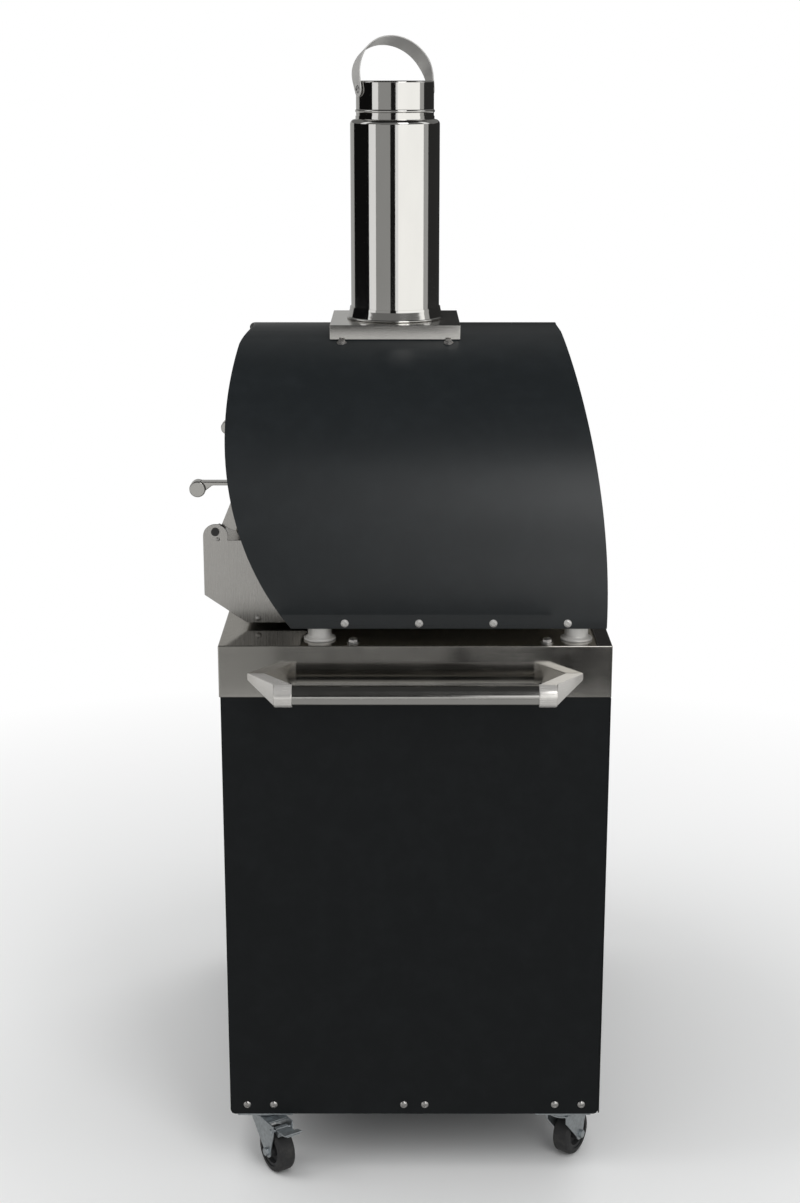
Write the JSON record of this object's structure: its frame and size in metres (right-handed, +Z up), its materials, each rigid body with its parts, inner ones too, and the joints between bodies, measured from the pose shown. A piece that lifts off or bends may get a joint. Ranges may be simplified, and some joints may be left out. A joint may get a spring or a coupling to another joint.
{
  "type": "wood fired pizza oven on a cart",
  "caption": "Barrel-vaulted wood fired pizza oven with a drop-down front door and capped chimney, standing on an open cart with side bars and swivel casters.",
  "frame": {"origin": "on the floor, under the centre of the bounding box", "axes": "+Z up, the oven's front and door face -Y, +X to the right of someone facing the front from outside"},
  "size_m": [1.036, 0.668, 1.837],
  "materials": {
    "stainless_satin": "satin",
    "stainless_polished": "polished",
    "charcoal_coat": "matte",
    "zinc": "satin",
    "hub_plastic": "matte",
    "tread_rubber": "matte",
    "fibre_insulation": "matte",
    "hearth_stone": "matte",
    "black_iron": "matte",
    "black_steel": "satin",
    "dial_white": "satin",
    "needle_red": "satin",
    "clear_glass": "gloss"
  },
  "bodies": {
    "oven": {"cart_top": "stainless_satin", "side_panel_right": "charcoal_coat", "side_panel_left": "charcoal_coat", "rear_panel": "charcoal_coat", "base_pan": "charcoal_coat", "panel_bolts": "stainless_satin", "top_cap_nuts": "stainless_satin", "side_bar_right": "stainless_satin", "side_bar_left": "stainless_satin", "bar_brackets": "stainless_satin", "caster_plates": "zinc", "oven_feet": "stainless_satin", "floor_pan": "stainless_satin", "floor_insulation": "fibre_insulation", "hearth_stones": "hearth_stone", "landing_shelf": "stainless_satin", "cheek_screws": "stainless_satin", "front_fascia": "stainless_satin", "mouth_ring": "black_iron", "inner_dome": "stainless_satin", "dome_insulation": "fibre_insulation", "outer_shell": "charcoal_coat", "rear_cover": "charcoal_coat", "shell_bolts": "stainless_satin", "door_hinge_pins": "black_steel", "flue_flange": "stainless_polished", "flange_bolts": "stainless_satin", "flue_collar": "stainless_polished", "flue_pipe": "stainless_polished"},
    "door": {"door_skin": "stainless_satin", "door_core": "fibre_insulation", "door_liner": "stainless_satin", "door_pulls": "stainless_satin", "door_pull_arms": "stainless_satin", "thermometer_case": "stainless_satin", "thermometer_dial": "dial_white", "thermometer_glass": "clear_glass"},
    "needle": {"thermometer_needle": "needle_red"},
    "cap": {"flue_cap": "stainless_polished", "bail_rivets": "stainless_satin"},
    "bail": {"cap_bail": "stainless_polished"},
    "caster_front_right": {"fork_front_right": "zinc", "axle_front_right": "zinc"},
    "roller_front_right": {"wheel_front_right": "hub_plastic", "tyre_front_right": "tread_rubber"},
    "pedal_right": {"brake_pedal_right": "zinc"},
    "caster_front_left": {"fork_front_left": "zinc", "axle_front_left": "zinc"},
    "roller_front_left": {"wheel_front_left": "hub_plastic", "tyre_front_left": "tread_rubber"},
    "pedal_left": {"brake_pedal_left": "zinc"},
    "caster_rear_right": {"fork_rear_right": "zinc", "axle_rear_right": "zinc"},
    "roller_rear_right": {"wheel_rear_right": "hub_plastic", "tyre_rear_right": "tread_rubber"},
    "caster_rear_left": {"fork_rear_left": "zinc", "axle_rear_left": "zinc"},
    "roller_rear_left": {"wheel_rear_left": "hub_plastic", "tyre_rear_left": "tread_rubber"}
  },
  "joints": [
    {"name": "door_swing", "type": "hinge", "parent": "oven", "child": "door", "pos_m": [0, -0.29075, 1.0715], "axis": [1, 0, 0], "range_deg": [0, 112]},
    {"name": "needle_turn", "type": "hinge", "parent": "door", "child": "needle", "pos_m": [0, -0.24167, 1.18864], "axis": [0, 0.9171, -0.3987], "range_deg": [0, 270], "stiffness_Nm_per_rad": 0.0005},
    {"name": "cap_lift", "type": "slide", "parent": "oven", "child": "cap", "axis": [0, 0, 1], "range_m": [0, 0.06]},
    {"name": "bail_swing", "type": "hinge", "parent": "cap", "child": "bail", "pos_m": [0, -0.00545, 1.75], "axis": [-0.4226, 0.9063, 0], "range_deg": [-66, 109]},
    {"name": "swivel_front_right", "type": "hinge", "parent": "oven", "child": "caster_front_right", "pos_m": [0.406, -0.22095, 0.091], "axis": [0, 0, 1], "continuous": true},
    {"name": "roll_front_right", "type": "hinge", "parent": "caster_front_right", "child": "roller_front_right", "pos_m": [0.43451, -0.20243, 0.0375], "axis": [-0.5446, 0.8387, 0], "continuous": true},
    {"name": "brake_right", "type": "hinge", "parent": "caster_front_right", "child": "pedal_right", "pos_m": [0.44626, -0.19481, 0.08], "axis": [-0.5446, 0.8387, 0], "range_deg": [0, 16]},
    {"name": "swivel_front_left", "type": "hinge", "parent": "oven", "child": "caster_front_left", "pos_m": [-0.406, -0.22095, 0.091], "axis": [0, 0, 1], "continuous": true},
    {"name": "roll_front_left", "type": "hinge", "parent": "caster_front_left", "child": "roller_front_left", "pos_m": [-0.43451, -0.20243, 0.0375], "axis": [-0.5446, -0.8387, 0], "continuous": true},
    {"name": "brake_left", "type": "hinge", "parent": "caster_front_left", "child": "pedal_left", "pos_m": [-0.44626, -0.19481, 0.08], "axis": [-0.5446, -0.8387, 0], "range_deg": [0, 16]},
    {"name": "swivel_rear_right", "type": "hinge", "parent": "oven", "child": "caster_rear_right", "pos_m": [0.406, 0.27405, 0.091], "axis": [0, 0, 1], "continuous": true},
    {"name": "roll_rear_right", "type": "hinge", "parent": "caster_rear_right", "child": "roller_rear_right", "pos_m": [0.37749, 0.29257, 0.0375], "axis": [-0.5446, -0.8387, 0], "continuous": true},
    {"name": "swivel_rear_left", "type": "hinge", "parent": "oven", "child": "caster_rear_left", "pos_m": [-0.406, 0.27405, 0.091], "axis": [0, 0, 1], "continuous": true},
    {"name": "roll_rear_left", "type": "hinge", "parent": "caster_rear_left", "child": "roller_rear_left", "pos_m": [-0.37749, 0.29257, 0.0375], "axis": [-0.5446, 0.8387, 0], "continuous": true}
  ]
}
